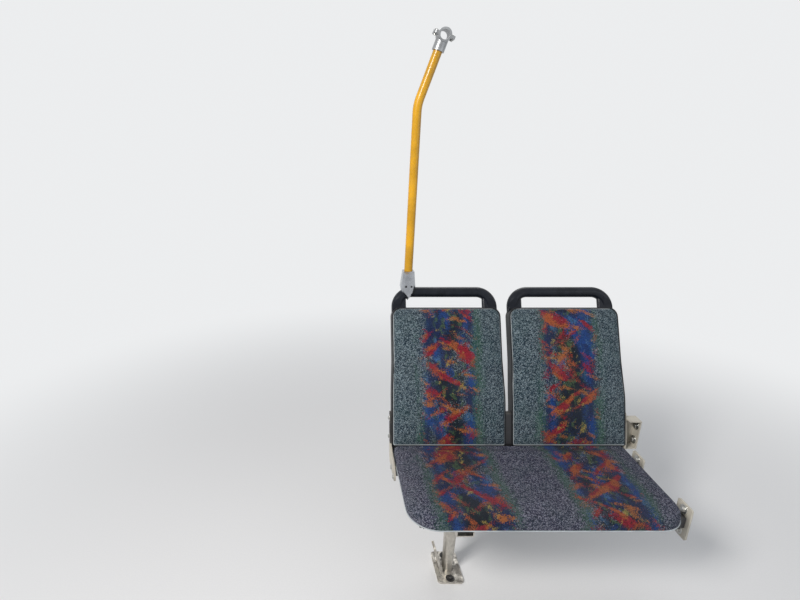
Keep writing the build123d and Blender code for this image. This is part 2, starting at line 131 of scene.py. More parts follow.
def back_place(run, depth):
    """The (y, z) place at a run up the face of a back and a depth behind it, the bend rounded."""
    if abs(run - LOWER_RUN) >= BEND_REACH:
        lean = lean_at(run)
        y = BEND_Y + (run - LOWER_RUN) * math.sin(lean)
        z = BEND_Z + (run - LOWER_RUN) * math.cos(lean)
    else:
        share = (run - LOWER_RUN + BEND_REACH) / (2 * BEND_REACH)
        lean = LOW_LEAN + (TOP_LEAN - LOW_LEAN) * share
        start_y = BEND_Y - BEND_REACH * math.sin(LOW_LEAN)
        start_z = BEND_Z - BEND_REACH * math.cos(LOW_LEAN)
        y = start_y + BEND_RADIUS * (math.cos(LOW_LEAN) - math.cos(lean))
        z = start_z + BEND_RADIUS * (math.sin(lean) - math.sin(LOW_LEAN))
    return y + depth * math.cos(lean), z - depth * math.sin(lean)


def back_coords(y, z):
    """The (run, depth) of a place on a back, the other way round from back_place."""
    places = []
    for lean in (LOW_LEAN, TOP_LEAN):
        run = LOWER_RUN + (y - BEND_Y) * math.sin(lean) + (z - BEND_Z) * math.cos(lean)
        depth = (y - BEND_Y) * math.cos(lean) - (z - BEND_Z) * math.sin(lean)
        places.append((run, depth))
    return min(places, key=lambda place: place[1])


def smooth_step(value, low, high):
    """0 below low, 1 above high and smooth between."""
    share = min(max((value - low) / (high - low), 0), 1)
    return share * share * (3 - 2 * share)


def pad_half_width_at(run):
    """Half the pad's width at a run up the face: wide at the lap, narrower from the waist up."""
    return PAD_HALF_WIDTH - WAIST * smooth_step(run, FLARE_START, FLARE_END)


# Tools for meshes


def enter(mode):
    """Edit mode or object mode."""
    bpy.ops.object.mode_set(mode=mode)


def deselect():
    """Nothing selected and no mode open."""
    if bpy.context.object and bpy.context.object.mode != "OBJECT":
        enter("OBJECT")
    bpy.ops.object.select_all(action="DESELECT")


def choose(piece):
    """Only this piece is selected and active."""
    deselect()
    piece.select_set(True)
    bpy.context.view_layer.objects.active = piece


def named(name):
    """The piece just made, under its name."""
    piece = bpy.context.object
    piece.name = name
    piece.data.name = name
    return piece


def settle(piece):
    """Its place goes into its mesh and its faces point outwards."""
    choose(piece)
    bpy.ops.object.transform_apply(location=True, rotation=True, scale=True)
    enter("EDIT")
    bpy.ops.mesh.select_all(action="SELECT")
    bpy.ops.mesh.normals_make_consistent(inside=False)
    enter("OBJECT")


def finish_modifiers(piece):
    """Applies all of a piece's modifiers."""
    choose(piece)
    for modifier in list(piece.modifiers):
        bpy.ops.object.modifier_apply(modifier=modifier.name)


def smooth(piece, angle=40):
    """Smooth shading that keeps edges sharper than the angle in degrees."""
    choose(piece)
    bpy.ops.object.shade_smooth_by_angle(angle=math.radians(angle))


def pick_faces(piece, test):
    """Selects in edit mode the faces whose centre and normal pass the test."""
    choose(piece)
    enter("EDIT")
    bpy.ops.mesh.select_mode(type="FACE")
    bpy.ops.mesh.select_all(action="DESELECT")
    enter("OBJECT")
    for face in piece.data.polygons:
        face.select = test(face.center, face.normal)
    enter("EDIT")


def merge_doubles(piece):
    """Points closer than 0.02 mm become one, and the faces point outwards."""
    choose(piece)
    enter("EDIT")
    bpy.ops.mesh.select_all(action="SELECT")
    bpy.ops.mesh.remove_doubles(threshold=0.00002)
    bpy.ops.mesh.normals_make_consistent(inside=False)
    enter("OBJECT")


def copy_mesh(name, source):
    """A new piece with its own copy of a mesh, its doubles merged."""
    piece = bpy.data.objects.new(name, source.data.copy())
    piece.data.name = name
    piece.data.materials.clear()
    bpy.context.scene.collection.objects.link(piece)
    merge_doubles(piece)
    return piece


def outward_turn(direction):
    """A matrix that turns +Z onto a direction."""
    return Vector(direction).to_track_quat("Z", "Y").to_matrix().to_4x4()


def dress(piece, slot, material, *replaced):
    """The piece rides on the body and takes its material; its slot is not used."""
    piece.data.materials.clear()
    piece.data.materials.append(material)
    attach(piece, "root")
    if replaced:
        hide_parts(*replaced)


def spread(model, places, slot, material):
    """Dressed copies of a model, each with its own mesh, at (place, direction) pairs.

    The model goes.
    """
    for number, (place, direction) in enumerate(places):
        piece = bpy.data.objects.new(f"{model.name}_{number + 1}", model.data.copy())
        piece.data.name = piece.name
        bpy.context.scene.collection.objects.link(piece)
        piece.data.transform(Matrix.Translation(Vector(place)) @ outward_turn(direction))
        dress(piece, slot, material)
    mesh = model.data
    bpy.data.objects.remove(model)
    bpy.data.meshes.remove(mesh)


# Tools for materials


def feed(socket, value):
    """Links an output to a socket, or sets the socket to a value."""
    if isinstance(value, bpy.types.NodeSocket):
        socket.id_data.links.new(value, socket)
    else:
        socket.default_value = value


def tree_of(*values):
    """The tree of the first output among some values."""
    return next(value.id_data for value in values if isinstance(value, bpy.types.NodeSocket))


def add_node(tree, kind, inputs=None, **settings):
    """A node of a kind, its settings set and its inputs linked or given a value."""
    made = tree.nodes.new("ShaderNode" + kind)
    for key, value in settings.items():
        setattr(made, key, value)
    for key, value in (inputs or {}).items():
        feed(made.inputs[key], value)
    return made


def maths(operation, *values, clamp=False):
    """The output of a Math node."""
    inputs = dict(enumerate(values))
    made = add_node(tree_of(*values), "Math", inputs, operation=operation, use_clamp=clamp)
    return made.outputs[0]


def plus(first, second):
    """The sum of two values."""
    return maths("ADD", first, second)


def minus(first, second):
    """The first value less the second."""
    return maths("SUBTRACT", first, second)


def times(product, *others):
    """The product of all the values."""
    for other in others:
        product = maths("MULTIPLY", product, other)
    return product


def part_of(vector, axis):
    """One coordinate of a vector."""
    return add_node(tree_of(vector), "SeparateXYZ", {"Vector": vector}).outputs[axis]


def ramp_value(value, low, high, curve="SMOOTHSTEP"):
    """0 below low, 1 above high and the curve between."""
    inputs = {"Value": value, "From Min": low, "From Max": high}
    made = add_node(tree_of(value), "MapRange", inputs, interpolation_type=curve)
    return made.outputs["Result"]


def blend_colour(share, first, second):
    """Two colours mixed by a share."""
    made = add_node(tree_of(share, first, second), "Mix", data_type="RGBA")
    for key, value in ((0, share), (6, first), (7, second)):
        feed(made.inputs[key], (*value, 1) if isinstance(value, tuple) else value)
    return made.outputs[2]


def noise_value(place, scale, detail=2.0, rough=0.5):
    """The value of a Noise Texture at a place."""
    inputs = {"Vector": place, "Scale": scale, "Detail": detail, "Roughness": rough}
    return add_node(tree_of(place), "TexNoise", inputs).outputs["Fac"]


def mapped(place, turn=(0, 0, 0), scale=(1, 1, 1), shift=(0, 0, 0)):
    """A place turned, scaled and moved."""
    inputs = {"Vector": place, "Location": shift, "Rotation": turn, "Scale": scale}
    return add_node(tree_of(place), "Mapping", inputs).outputs["Vector"]


SOCKET_KINDS = {type(None): "Vector", float: "Float", tuple: "Color"}


def new_group(name, inputs, outputs):
    """What a new node group is given and what it puts out.

    An input's default tells its kind: a number, a colour, or None for a place.
    """
    tree = bpy.data.node_groups.new(name, "ShaderNodeTree")
    for title, default in inputs.items():
        kind = SOCKET_KINDS[type(default)]
        socket = tree.interface.new_socket(title, in_out="INPUT", socket_type="NodeSocket" + kind)
        if default is not None:
            socket.default_value = default
    for title, kind in outputs.items():
        tree.interface.new_socket(title, in_out="OUTPUT", socket_type="NodeSocket" + kind)
    return tree.nodes.new("NodeGroupInput").outputs, tree.nodes.new("NodeGroupOutput").inputs


def feed_all(sockets, **values):
    """Feeds sockets by their names, an underscore for each space."""
    for key, value in values.items():
        feed(sockets[key.replace("_", " ")], value)


def use_group(name, **inputs):
    """The outputs of a shared group placed in a material with its own values."""
    made = tree_of(*inputs.values()).nodes.new("ShaderNodeGroup")
    made.node_tree = bpy.data.node_groups[name]
    feed_all(made.inputs, **inputs)
    return made.outputs


def make_grain_group():
    """Fine moulded or cast grain: a height and a mottling."""
    given, out = new_group(
        "Surface grain",
        {"Place": None, "Scale": 900.0, "Mottle Scale": 14.0},
        {"Height": "Float", "Mottle": "Float"},
    )
    fine = noise_value(given["Place"], given["Scale"], 3.0, 0.6)
    coarse = noise_value(given["Place"], given["Mottle Scale"], 4.0, 0.6)
    feed_all(out, Height=fine, Mottle=ramp_value(coarse, 0.3, 0.72))


def make_wear_group():
    """Rubbed patches and fine scratches, stronger above a height."""
    given, out = new_group(
        "Rubbed wear",
        {"Place": None, "From Height": 0.0, "To Height": 1.0, "Amount": 0.5},
        {"Rubbed": "Float", "Scratches": "Float"},
    )
    place = given["Place"]
    height = part_of(place, "Z")
    rise = ramp_value(height, given["From Height"], given["To Height"], "LINEAR")
    cloud = ramp_value(noise_value(place, 26.0, 5.0, 0.65), 0.42, 0.68)
    rubbed = times(cloud, rise, given["Amount"])
    streaks = mapped(place, turn=(0.6, 0.35, 0.9), scale=(1.0, 1.0, 0.06))
    marks = ramp_value(noise_value(streaks, 420.0, 2.0, 0.5), 0.66, 0.74)
    patchy = ramp_value(noise_value(place, 9.0, 2.0, 0.5), 0.45, 0.6)
    scratches = times(marks, patchy, given["Amount"])
    feed_all(out, Rubbed=maths("MINIMUM", rubbed, 1.0), Scratches=scratches)


def make_dust_and_shade_group():
    """A mask of faces that look up, stronger near the floor: pale dust in most finishes, dark
    floor dirt and painted shade on the leg.
    """
    given, out = new_group("Up faces dust and shade", {"Place": None, "Amount": 0.3}, {"Dust": "Float"})
    normal = add_node(tree_of(given["Place"]), "NewGeometry").outputs["Normal"]
    up = ramp_value(part_of(normal, "Z"), 0.35, 1)
    low = minus(1.0, ramp_value(part_of(given["Place"], "Z"), 0.0, 0.30))
    cloud = ramp_value(noise_value(given["Place"], 38.0, 5.0, 0.7), 0.35, 0.75)
    both = plus(up, times(low, 0.8))
    dust = times(both, cloud, given["Amount"])
    feed_all(out, Dust=maths("MINIMUM", dust, 1.0))


def make_edge_group():
    """Softened edges: a normal that rounds them and a mask of where they are rubbed."""
    given, out = new_group(
        "Softened edges",
        {"Place": None, "Radius": 0.001},
        {"Normal": "Vector", "Rubbed": "Float"},
    )
    tree = tree_of(given["Place"])
    rounded = add_node(tree, "Bevel", {"Radius": given["Radius"]}, samples=4).outputs["Normal"]
    flat = add_node(tree, "NewGeometry").outputs["Normal"]
    agree = add_node(tree, "VectorMath", {0: rounded, 1: flat}, operation="DOT_PRODUCT")
    edge = minus(1.0, ramp_value(agree.outputs["Value"], 0.86, 0.995))
    cloud = ramp_value(noise_value(given["Place"], 120.0, 4.0, 0.7), 0.30, 0.62)
    feed_all(out, Normal=rounded, Rubbed=times(edge, cloud))


def make_moquette_group():
    """Speckled bus moquette with a stripe of brushed blotches, woven in 1.4 mm picks.

    The place is in metres across and along the cloth. The stripe is centred on a shift across.
    """
    given, out = new_group(
        "Striped moquette",
        {
            "Place": None,
            "Stripe Centre": 0.0,
            "Stripe Half Width": 0.1,
            "Layout": 0.0,
            "Ground Dark": (0.02, 0.04, 0.05, 1),
            "Ground Mid": (0.1, 0.2, 0.2, 1),
            "Ground Pale": (0.4, 0.5, 0.5, 1),
        },
        {"Cloth": "Color", "Pile": "Float"},
    )
    place = given["Place"]
    tree = tree_of(place)

    def tosses(scale):
        """Three random values for each pick of a size."""
        picks = add_node(tree, "TexVoronoi", {"Vector": place, "Scale": scale, "Randomness": 0.9})
        return add_node(tree, "SeparateColor", {"Color": picks.outputs["Color"]}).outputs, picks

    fine, picks = tosses(720.0)
    tufts = tosses(340.0)[0]

    def mixed_toss(channel):
        """A random value that follows tufts of picks and each pick in them."""
        return plus(times(tufts[channel], 0.62), times(fine[channel], 0.38))

    toss, second_toss, third_toss = (mixed_toss(c) for c in ("Red", "Green", "Blue"))

    # Ground speckle in dark, mid and pale threads
    ground = blend_colour(ramp_value(toss, 0.36, 0.46), given["Ground Dark"], given["Ground Mid"])
    ground = blend_colour(ramp_value(toss, 0.60, 0.70), ground, given["Ground Pale"])
    tint = noise_value(place, 14.0, 2.0)
    ground = blend_colour(times(ramp_value(tint, 0.4, 0.7), 0.10), ground, (0.05, 0.15, 0.12))

    # How far across the stripe, with its edges dithered pick by pick
    across = minus(part_of(place, "X"), given["Stripe Centre"])
    drift = minus(noise_value(place, 7.0), 0.5)
    across = plus(across, times(drift, 0.05))
    share = maths("DIVIDE", maths("ABSOLUTE", across), given["Stripe Half Width"])
    dither = times(minus(second_toss, 0.5), 0.42)
    ragged = plus(share, dither)

    def beyond(limit, soft=0.06):
        """1 outside a share of the stripe and 0 inside."""
        return ramp_value(ragged, limit - soft, limit + soft)

    def within(limit, soft=0.06):
        """1 inside a share of the stripe and 0 outside."""
        return minus(1.0, beyond(limit, soft))

    def blotches(turn, stretch, scale, shift, threshold):
        """Brushed blotches that run one way, dithered pick by pick."""
        parts = {"X": shift[0], "Y": shift[1], "Z": given["Layout"]}
        shifts = add_node(tree, "CombineXYZ", parts).outputs[0]
        moved = add_node(tree, "VectorMath", {0: place, 1: shifts}, operation="ADD").outputs[0]
        turned = mapped(moved, turn=(0, 0, math.radians(turn)))
        field = noise_value(mapped(turned, scale=(1 / stretch, 1, 1)), scale, 1.2, 0.4)
        tossed = times(minus(third_toss, 0.5), 0.19)
        marks = plus(field, tossed)
        return ramp_value(marks, threshold - 0.012, threshold + 0.012)

    flame = blend_colour(
        ramp_value(noise_value(place, 21.0, 1.0), 0.44, 0.58),
        (0.360, 0.016, 0.032), (0.500, 0.115, 0.030),
    )
    edge_band = times(within(1.14), beyond(0.74))
    layers = (
        (edge_band, blotches(90, 3.0, 13, (0.3, 0.1), 0.43), (0.036, 0.135, 0.070), 0.55),
        (within(0.88), blotches(90, 2.2, 10, (1.7, 0.4), 0.40), (0.007, 0.020, 0.095), 0.92),
        (within(0.84), blotches(86, 1.7, 17, (5.1, 2.2), 0.53), (0.014, 0.070, 0.290), 0.88),
        (within(0.80), blotches(72, 1.5, 30, (4.4, 8.2), 0.64), (0.080, 0.210, 0.430), 0.65),
        (within(0.46, 0.2), blotches(90, 1.9, 11, (3.1, 7.7), 0.45), (0.005, 0.012, 0.018), 0.92),
        (within(0.50, 0.2), blotches(70, 1.2, 46, (6.1, 2.7), 0.60), (0.080, 0.150, 0.065), 0.75),
        (within(0.88), blotches(38, 3.0, 25, (2.9, 5.3), 0.610), flame, 0.95),
        (within(0.88), blotches(-40, 2.8, 24, (8.3, 1.9), 0.615), flame, 0.95),
        (within(0.94), blotches(14, 2.4, 30, (6.7, 3.8), 0.660), (0.500, 0.165, 0.042), 0.90),
        (within(0.55), blotches(-55, 1.5, 46, (9.9, 4.1), 0.700), (0.470, 0.350, 0.080), 0.80),
    )
    cloth = ground
    for inside, marks, ink, strength in layers:
        cloth = blend_colour(times(inside, marks, strength), cloth, ink)

    # Loose dark picks, thickest in the middle of the stripe
    loose = plus(0.60, times(share, 0.16))
    dark = ramp_value(minus(second_toss, loose), -0.01, 0.02)
    loose_share = times(dark, within(0.95), 0.80)
    cloth = blend_colour(loose_share, cloth, (0.004, 0.007, 0.011))
    fuzz = times(noise_value(place, 2400.0, 2.0), 0.6)
    pile = plus(times(picks.outputs["Distance"], 420.0), fuzz)
    feed_all(out, Cloth=cloth, Pile=pile)


def new_material(name):
    """A material with its shader and its Object coordinates."""
    material = bpy.data.materials.new(name)
    material.use_nodes = True
    tree = material.node_tree
    place = add_node(tree, "TexCoord").outputs["Object"]
    return material, tree.nodes["Principled BSDF"], place


def shaded(colour, share):
    """A colour made darker or lighter by a share."""
    return tuple(min(channel * share, 1.0) for channel in colour)


def bumped(height, strength, distance=0.0004, normal=None):
    """A normal from a height, on top of another normal where there is one."""
    inputs = {"Height": height, "Strength": strength, "Distance": distance}
    if normal:
        inputs["Normal"] = normal
    return add_node(tree_of(height), "Bump", inputs).outputs["Normal"]


def cloth_material(name, grounds, stripes, layout, painted_shade=0.0):
    """Moquette on a pad's own UV map, darkened evenly by a share as painted shade."""
    material, shader, place = new_material(name)
    cloth_place = add_node(material.node_tree, "UVMap", uv_map="cloth").outputs["UV"]
    dark, mid, pale = ((*ground, 1) for ground in grounds)
    first_stripe, last_stripe, half_width = stripes

    def striped(centre, number):
        """The outputs of the moquette, its stripe at a centre."""
        return use_group(
            "Striped moquette", Place=cloth_place, Stripe_Centre=centre,
            Stripe_Half_Width=half_width, Layout=number, Ground_Dark=dark, Ground_Mid=mid,
            Ground_Pale=pale,
        )

    woven = striped(first_stripe, layout)
    colour = woven["Cloth"]
    if last_stripe != first_stripe:
        middle = (first_stripe + last_stripe) / 2
        past = maths("GREATER_THAN", part_of(cloth_place, "X"), middle)
        colour = blend_colour(past, colour, striped(last_stripe, layout + 3.7)["Cloth"])
    worn = use_group("Surface grain", Place=place, Scale=260.0, Mottle_Scale=7.0)
    # Painted shade: the whole cloth is darkened towards near-black by a share
    colour = blend_colour(painted_shade, colour, (0.010, 0.010, 0.014))
    colour = blend_colour(times(worn["Mottle"], 0.08), colour, (0.24, 0.25, 0.26))
    feed_all(
        shader.inputs, Base_Color=colour, Roughness=0.95, Sheen_Weight=0.06,
        Sheen_Roughness=0.45, Specular_IOR_Level=0.10,
        Normal=bumped(woven["Pile"], 0.55, 0.0007),
    )
    return material


def plain_material(name, colour, roughness, grain=900.0, bump=0.15, metallic=0.0, rub=0.0,
                   dust=0.25, coat=0.0, worn_colour=None, heights=(0.0, 1.0), specular=0.5,
                   upper=None, edge=0.0008):
    """A moulded, painted or metal finish with grain, mottling, rubbed wear and dust.

    The upper part, where given, is a (height, colour) from which the colour changes.
    """
    material, shader, place = new_material(name)
    grained = use_group("Surface grain", Place=place, Scale=grain, Mottle_Scale=11.0)
    wear = use_group(
        "Rubbed wear", Place=place, From_Height=heights[0], To_Height=heights[1], Amount=rub
    )
    dust_and_shade = use_group("Up faces dust and shade", Place=place, Amount=dust)
    edges = use_group("Softened edges", Place=place, Radius=edge)
    shade = blend_colour(grained["Mottle"], shaded(colour, 0.78), shaded(colour, 1.14))
    if upper:
        start, upper_colour = upper
        above = ramp_value(part_of(place, "Z"), start - 0.001, start + 0.001)
        shade = blend_colour(above, shade, upper_colour)
    worn_colour = worn_colour or tuple(min(channel * 1.7 + 0.02, 1.0) for channel in colour)
    worn = maths("MAXIMUM", wear["Rubbed"], times(edges["Rubbed"], 0.7))
    shade = blend_colour(worn, shade, worn_colour)
    shade = blend_colour(times(wear["Scratches"], 0.7), shade, worn_colour)
    shade = blend_colour(dust_and_shade["Dust"], shade, DUST)
    gloss = plus(roughness - 0.05, times(grained["Mottle"], 0.10))
    gloss = minus(gloss, times(wear["Rubbed"], 0.12))
    gloss = maths("ADD", gloss, times(dust_and_shade["Dust"], 0.35), clamp=True)
    metal = 0.0
    if metallic:
        metal = maths("MULTIPLY", metallic, minus(1.0, dust_and_shade["Dust"]), clamp=True)
    feed_all(
        shader.inputs, Base_Color=shade, Roughness=gloss, Metallic=metal, Coat_Weight=coat,
        Coat_Roughness=0.12, Specular_IOR_Level=specular,
        Normal=bumped(grained["Height"], bump, 0.0003, edges["Normal"]),
    )
    return material


def brushed_material(name, colour, roughness):
    """Brushed steel: fine streaks up the leg, handling marks, and dark floor dirt with painted
    shade on faces that look up and near the floor.
    """
    material, shader, place = new_material(name)
    streaks = noise_value(mapped(place, scale=(1, 1, 0.03)), 1500.0, 3.0, 0.6)
    wear = use_group("Rubbed wear", Place=place, From_Height=0.5, To_Height=0.0, Amount=0.5)
    dust_and_shade = use_group("Up faces dust and shade", Place=place, Amount=0.75)
    edges = use_group("Softened edges", Place=place, Radius=0.0015)
    shade = blend_colour(ramp_value(streaks, 0.35, 0.68), shaded(colour, 0.82), colour)
    shade = blend_colour(wear["Rubbed"], shade, DUST)
    # Dark floor dirt and painted shade on faces that look up and near the floor
    shade = blend_colour(dust_and_shade["Dust"], shade, (0.150, 0.140, 0.125))
    shade = blend_colour(edges["Rubbed"], shade, shaded(colour, 1.25))
    gloss = plus(roughness - 0.08, times(streaks, 0.2))
    gloss = plus(gloss, times(dust_and_shade["Dust"], 0.35))
    metal = minus(1.0, dust_and_shade["Dust"])
    feed_all(
        shader.inputs, Base_Color=shade, Roughness=gloss, Metallic=metal,
        Normal=bumped(streaks, 0.12, 0.0002, edges["Normal"]),
    )
    return material


MATERIALS = {}


def make_materials(colours):
    """All the finishes, from the panel's colours."""
    make_grain_group()
    make_wear_group()
    make_dust_and_shade_group()
    make_edge_group()
    make_moquette_group()
    back_grounds = (colours.back_dark, colours.back_mid, colours.back_pale)
    seat_grounds = (colours.seat_dark, colours.seat_mid, colours.seat_pale)
    for side, layout in (("aisle", 1.3), ("window", 11.9)):
        MATERIALS["back_cloth_" + side] = cloth_material(
            "Back moquette " + side, back_grounds, (0.0, 0.0, STRIPE_HALF_WIDTH), layout
        )
    # The cushion's cloth is darkened by a fifth as painted shade
    MATERIALS["cushion_cloth"] = cloth_material(
        "Cushion moquette", seat_grounds,
        (BACK_CENTRES["aisle"], BACK_CENTRES["window"], STRIPE_HALF_WIDTH * 1.1), 5.6,
        painted_shade=0.20,
    )
    MATERIALS["welt"] = plain_material(
        "Woven piping", (0.40, 0.44, 0.46), 0.85, grain=1600, bump=0.5, rub=0.5, dust=0.1
    )
    MATERIALS["shell"] = plain_material(
        "Black moulding", (0.011, 0.012, 0.014), 0.48, grain=1100, bump=0.3, rub=0.22, dust=0.06,
        heights=(0.3, 0.9), specular=0.22, edge=0.0015,
    )
    MATERIALS["grip"] = plain_material(
        "Satin grip moulding", (0.006, 0.008, 0.013), 0.31, grain=1300, bump=0.12, rub=0.45,
        dust=0.02, heights=(0.90, 1.0), worn_colour=(0.024, 0.028, 0.038), specular=0.22,
        edge=0.0015,
    )
    MATERIALS["pole"] = plain_material(
        "Golden yellow powder coat", tuple(colours.pole), 0.30, grain=420, bump=0.14, rub=0.25,
        dust=0.05, coat=0.08, heights=(0.9, 1.4), worn_colour=(0.52, 0.30, 0.05),
        specular=0.40,
    )
    MATERIALS["shoe"] = plain_material(
        "Polished casting", (0.37, 0.385, 0.41), 0.22, grain=700, bump=0.10, metallic=0.95,
        rub=0.3, dust=0.05, worn_colour=(0.66, 0.68, 0.71), edge=0.0018,
    )
    MATERIALS["clamp"] = plain_material(
        "Grey casting", (0.33, 0.34, 0.35), 0.42, grain=800, bump=0.2, metallic=0.7, rub=0.2,
        dust=0.12,
    )
    MATERIALS["leg"] = brushed_material("Brushed leg steel", (0.68, 0.65, 0.59), 0.40)
    MATERIALS["frame"] = plain_material(
        "Satin grey frame paint", (0.060, 0.061, 0.064), 0.45, grain=600, bump=0.15, rub=0.25,
        dust=0.35,
    )
    MATERIALS["bracket"] = plain_material(
        "Pale bracket paint", PALE_PAINT, 0.48, grain=600, bump=0.15, rub=0.4, dust=0.15,
        worn_colour=RUBBED_PAINT,
    )
    # Black above a height, where the arm lies beside the shell's side
    MATERIALS["aisle_arm"] = plain_material(
        "Pale arm paint, black above", PALE_PAINT, 0.46, grain=600, bump=0.15, rub=0.35,
        dust=0.12, worn_colour=RUBBED_PAINT, upper=(0.447, BLACK_PAINT),
    )
    MATERIALS["arm"] = plain_material(
        "Black arm paint", BLACK_PAINT, 0.42, grain=600, bump=0.15, rub=0.3, dust=0.2
    )
    MATERIALS["zinc"] = plain_material(
        "Zinc plated fastener", (0.52, 0.52, 0.50), 0.32, grain=1800, bump=0.1, metallic=1.0,
        rub=0.4, dust=0.2,
    )
    MATERIALS["black_screw"] = plain_material(
        "Blackened screw", (0.020, 0.020, 0.022), 0.38, grain=1800, bump=0.1, metallic=0.6,
        rub=0.4, dust=0.1,
    )


NODE_FINISHES = {
    "shell": ["back_shell_aisle", "back_shell_window"],
    "grip": ["grab_handle_aisle", "grab_handle_window"],
    "pole": ["stanchion_pole"],
    "shoe": ["pole_shoe_front", "pole_shoe_rear"],
    "clamp": ["ceiling_clamp_body", "ceiling_clamp_cap"],
    "leg": ["leg_foot", "leg_post", "leg_head"],
    "frame": [
        "front_beam", "rear_beam", "cushion_pan",
        "seat_rib_aisle", "seat_rib_middle", "seat_rib_window",
    ],
    "bracket": [
        "wall_bracket_front", "wall_bracket_rear", "wall_bracket_back", "back_arm_window",
    ],
    "aisle_arm": ["back_arm_aisle"],
    "arm": ["back_arm_middle"],
}


# Soft pads


CLOTH_STEPS = 20
CLOTH_SETTINGS = {
    "quality": 5,
    "mass": 0.3,
    "tension_stiffness": 12,
    "compression_stiffness": 12,
    "shear_stiffness": 4,
    "bending_stiffness": 0.4,
    "use_pressure": True,
}


def inflate(piece, voxel, pressure, cap, weight):
    """Remeshes a pad, swells it as cloth and keeps each point within a cap of where it was.

    The weight gives a point's share of the swelling, so that hidden faces stay flat.
    """
    choose(piece)
    remesh = piece.modifiers.new("even", "REMESH")
    remesh.mode = "VOXEL"
    remesh.voxel_size = voxel
    finish_modifiers(piece)
    start = [vertex.co.copy() for vertex in piece.data.vertices]
    cloth = piece.modifiers.new("swell", "CLOTH")
    for key, value in CLOTH_SETTINGS.items():
        setattr(cloth.settings, key, value)
    cloth.settings.uniform_pressure_force = pressure
    cloth.settings.effector_weights.gravity = 0
    cloth.collision_settings.use_collision = False
    cloth.collision_settings.use_self_collision = False
    scene = bpy.context.scene
    for step in range(CLOTH_STEPS):
        scene.frame_set(step + 1)
    finish_modifiers(piece)
    scene.frame_set(1)
    for vertex, before in zip(piece.data.vertices, start):
        moved = vertex.co - before
        share = weight(before)
        length = moved.length
        if length > cap:
            moved *= cap / length
        vertex.co = before + moved * share


def map_cloth(piece, across_along):
    """A UV map in metres, so that the weave follows the pad's surface."""
    layer = piece.data.uv_layers.new(name="cloth")
    flat = [across_along(vertex.co) for vertex in piece.data.vertices]
    for corner in piece.data.loops:
        layer.data[corner.index].uv = flat[corner.vertex_index]


def finish_pad(piece, across_along):
    """Lays the cloth on a pad, subdivides it once and shades it smooth."""
    map_cloth(piece, across_along)
    level = piece.modifiers.new("soft", "SUBSURF")
    level.levels = 1
    level.render_levels = 1
    finish_modifiers(piece)
    bpy.ops.object.shade_smooth()


def make_back_cover(side, crown, wrinkle):
    """A padded back: crowned in the middle, pulled in at its edge and slack near the seat."""
    centre = BACK_CENTRES[side]
    piece = copy_mesh("back_cover_" + side, NODES["back_pad_" + side])

    def front_share(point):
        """1 on the face that shows, 0 on the face against the shell."""
        depth = back_coords(point.y, point.z)[1]
        return 1 - smooth_step(depth, 0.008, 0.020)

    def swelling_share(point):
        """Only the face inside the piping swells."""
        run = back_coords(point.y, point.z)[0]
        edge = min(pad_half_width_at(run) - abs(point.x - centre), BACK_RUN - run, run)
        return front_share(point) * smooth_step(edge, 0.006, 0.040)

    inflate(piece, voxel=0.005, pressure=3.0, cap=0.006, weight=swelling_share)
    for vertex in piece.data.vertices:
        point = vertex.co
        run = back_coords(point.y, point.z)[0]
        across = (point.x - centre) / pad_half_width_at(run)
        side_fall = 1 - abs(across) ** 4
        end_fall = smooth_step(BACK_RUN - run, 0, 0.09) * smooth_step(run, 0.0, 0.07)
        lean = lean_at(run)
        rise = crown * max(side_fall, 0) * end_fall
        slack = noise.noise(Vector((point.x * 9, run * 6, 3.1))) * wrinkle
        pull = noise.noise(Vector((point.x * 34, run * 26, 7.7))) * wrinkle * 0.35
        rise += (slack + pull) * front_share(point) * end_fall
        rise *= front_share(point)
        vertex.co.y -= rise * math.cos(lean)
        vertex.co.z += rise * math.sin(lean)

    def across_along(point):
        run, depth = back_coords(point.y, point.z)
        depth = max(depth, 0)
        out = (point.x - centre) / PAD_HALF_WIDTH
        up = (run - BACK_RUN / 2) / (BACK_RUN / 2)
        return (point.x - centre) + out * depth, run + up * depth

    finish_pad(piece, across_along)
    dress(piece, "back_cloth", MATERIALS["back_cloth_" + side], "back_pad_" + side)


